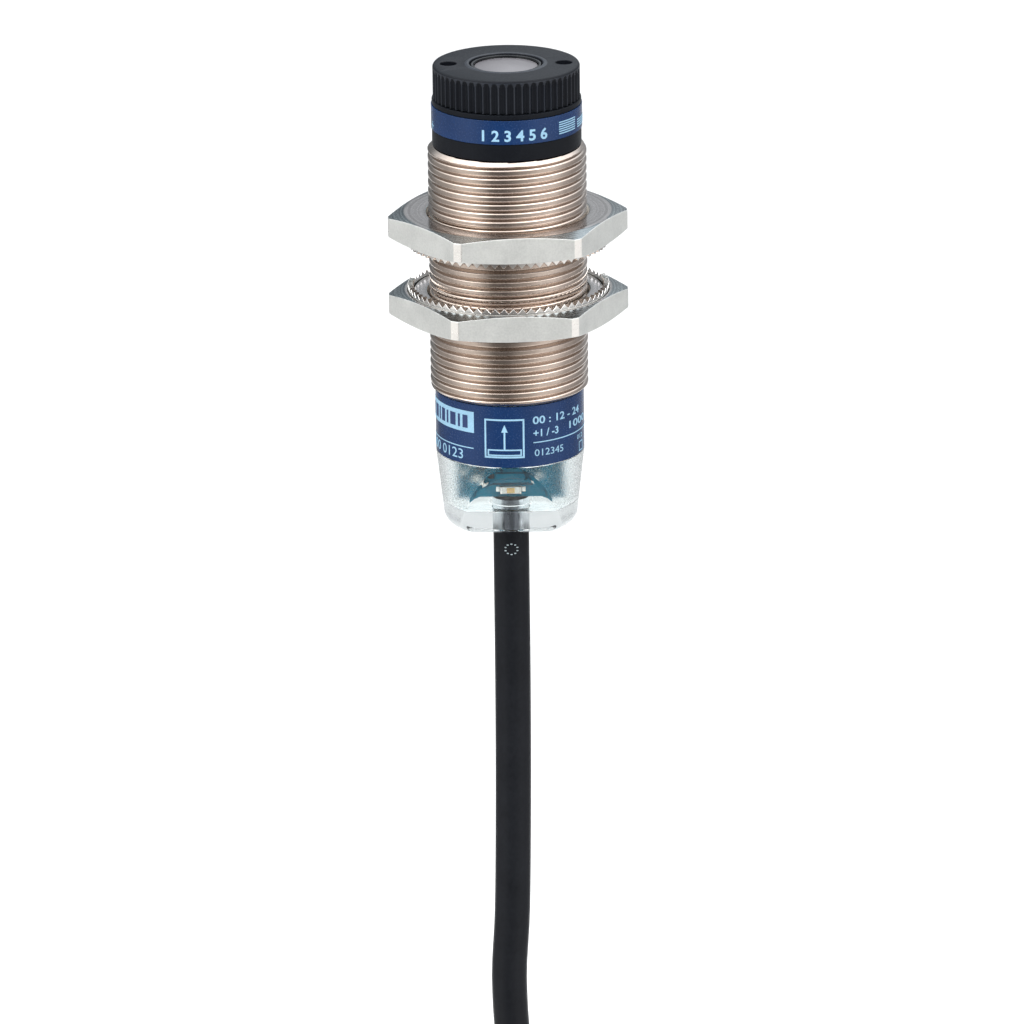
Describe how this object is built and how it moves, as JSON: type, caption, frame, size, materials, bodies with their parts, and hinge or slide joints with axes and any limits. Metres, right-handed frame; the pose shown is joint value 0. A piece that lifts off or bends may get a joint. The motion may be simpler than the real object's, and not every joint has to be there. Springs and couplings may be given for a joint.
{
  "type": "photoelectric sensor",
  "caption": "Threaded round metal laser emitter with a focusing ring, panel nuts, a clear lamp cap and a fixed cable, for detecting objects across a beam.",
  "frame": {"origin": "on the barrel's axis, half way between the two nuts, where the mounting panel is clamped", "axes": "+Z along the barrel towards the lens; -Y is the front of the printed marks; +X to their right"},
  "size_m": [0.0406, 0.025, 0.2647],
  "materials": {
    "nickel": "satin",
    "nut_nickel": "satin",
    "black_plastic": "matte",
    "blue_print": "satin",
    "clear_plastic": "gloss",
    "lens_glass": "polished",
    "rubber_seal": "matte",
    "brass": "satin",
    "steel_can": "satin",
    "circuit_board": "satin",
    "chip_black": "matte",
    "capacitor_amber": "satin",
    "led_white": "gloss",
    "cable_jacket": "satin",
    "wire_brown": "satin",
    "wire_blue": "satin",
    "wire_violet": "satin",
    "tie_fabric": "matte"
  },
  "bodies": {
    "housing": {"threaded_barrel": "nickel", "front_collar": "black_plastic", "front_band": "blue_print", "ring_seal": "rubber_seal", "collar_seal": "rubber_seal", "diode_holder": "brass", "laser_diode": "steel_can", "diode_pin_left": "steel_can", "diode_pin_right": "steel_can", "diode_pin_rear": "steel_can", "main_board": "circuit_board", "status_led": "led_white", "stability_led": "led_white", "led_resistor": "chip_black", "driver_chip": "chip_black", "regulator_chip": "chip_black", "filter_capacitor": "capacitor_amber", "protection_diode": "chip_black", "rear_cap": "clear_plastic", "cap_seal": "rubber_seal", "rear_label": "blue_print", "crimp_sleeve": "steel_can", "core_brown": "wire_brown", "core_blue": "wire_blue", "core_violet": "wire_violet", "cable": "cable_jacket", "cable_hank": "cable_jacket", "cable_tie": "tie_fabric", "cable_tail": "cable_jacket", "lead_brown": "wire_brown", "lead_blue": "wire_blue", "lead_violet": "wire_violet", "ferrule_brown": "steel_can", "ferrule_blue": "steel_can", "ferrule_violet": "steel_can"},
    "focus_ring": {"adjusting_ring": "black_plastic"},
    "lens_unit": {"lens_carrier": "black_plastic", "front_lens": "lens_glass", "aperture_stop": "brass"},
    "front_ring_body": {"front_lock_ring": "nut_nickel"},
    "front_nut_body": {"front_nut": "nut_nickel"},
    "rear_ring_body": {"rear_lock_ring": "nut_nickel"},
    "rear_nut_body": {"rear_nut": "nut_nickel"}
  },
  "joints": [
    {"name": "ring_turn", "type": "hinge", "parent": "housing", "child": "focus_ring", "pos_m": [0, 0, 0.0194], "axis": [0, 0, 1], "range_deg": [-135, 135]},
    {"name": "lens_focus", "type": "slide", "parent": "housing", "child": "lens_unit", "axis": [0, 0, 1], "range_m": [-0.0004, 0.0004]},
    {"name": "front_nut_advance", "type": "slide", "parent": "housing", "child": "front_ring_body", "axis": [0, 0, 1], "range_m": [-0.00185, 0.0072]},
    {"name": "front_nut_turn", "type": "hinge", "parent": "front_ring_body", "child": "front_nut_body", "pos_m": [0, 0, 0.00306], "axis": [0, 0, 1], "range_deg": [-666, 2592]},
    {"name": "rear_nut_advance", "type": "slide", "parent": "housing", "child": "rear_ring_body", "axis": [0, 0, 1], "range_m": [-0.0074, 0.00185]},
    {"name": "rear_nut_turn", "type": "hinge", "parent": "rear_ring_body", "child": "rear_nut_body", "pos_m": [0, 0, -0.00306], "axis": [0, 0, 1], "range_deg": [-2664, 666]}
  ],
  "couplings": [
    {"joint": "ring_turn", "follows": "lens_focus", "rad_per_m": 5890.4},
    {"joint": "front_nut_advance", "follows": "front_nut_turn", "m_per_rad": 0.00015915},
    {"joint": "rear_nut_advance", "follows": "rear_nut_turn", "m_per_rad": 0.00015915}
  ]
}
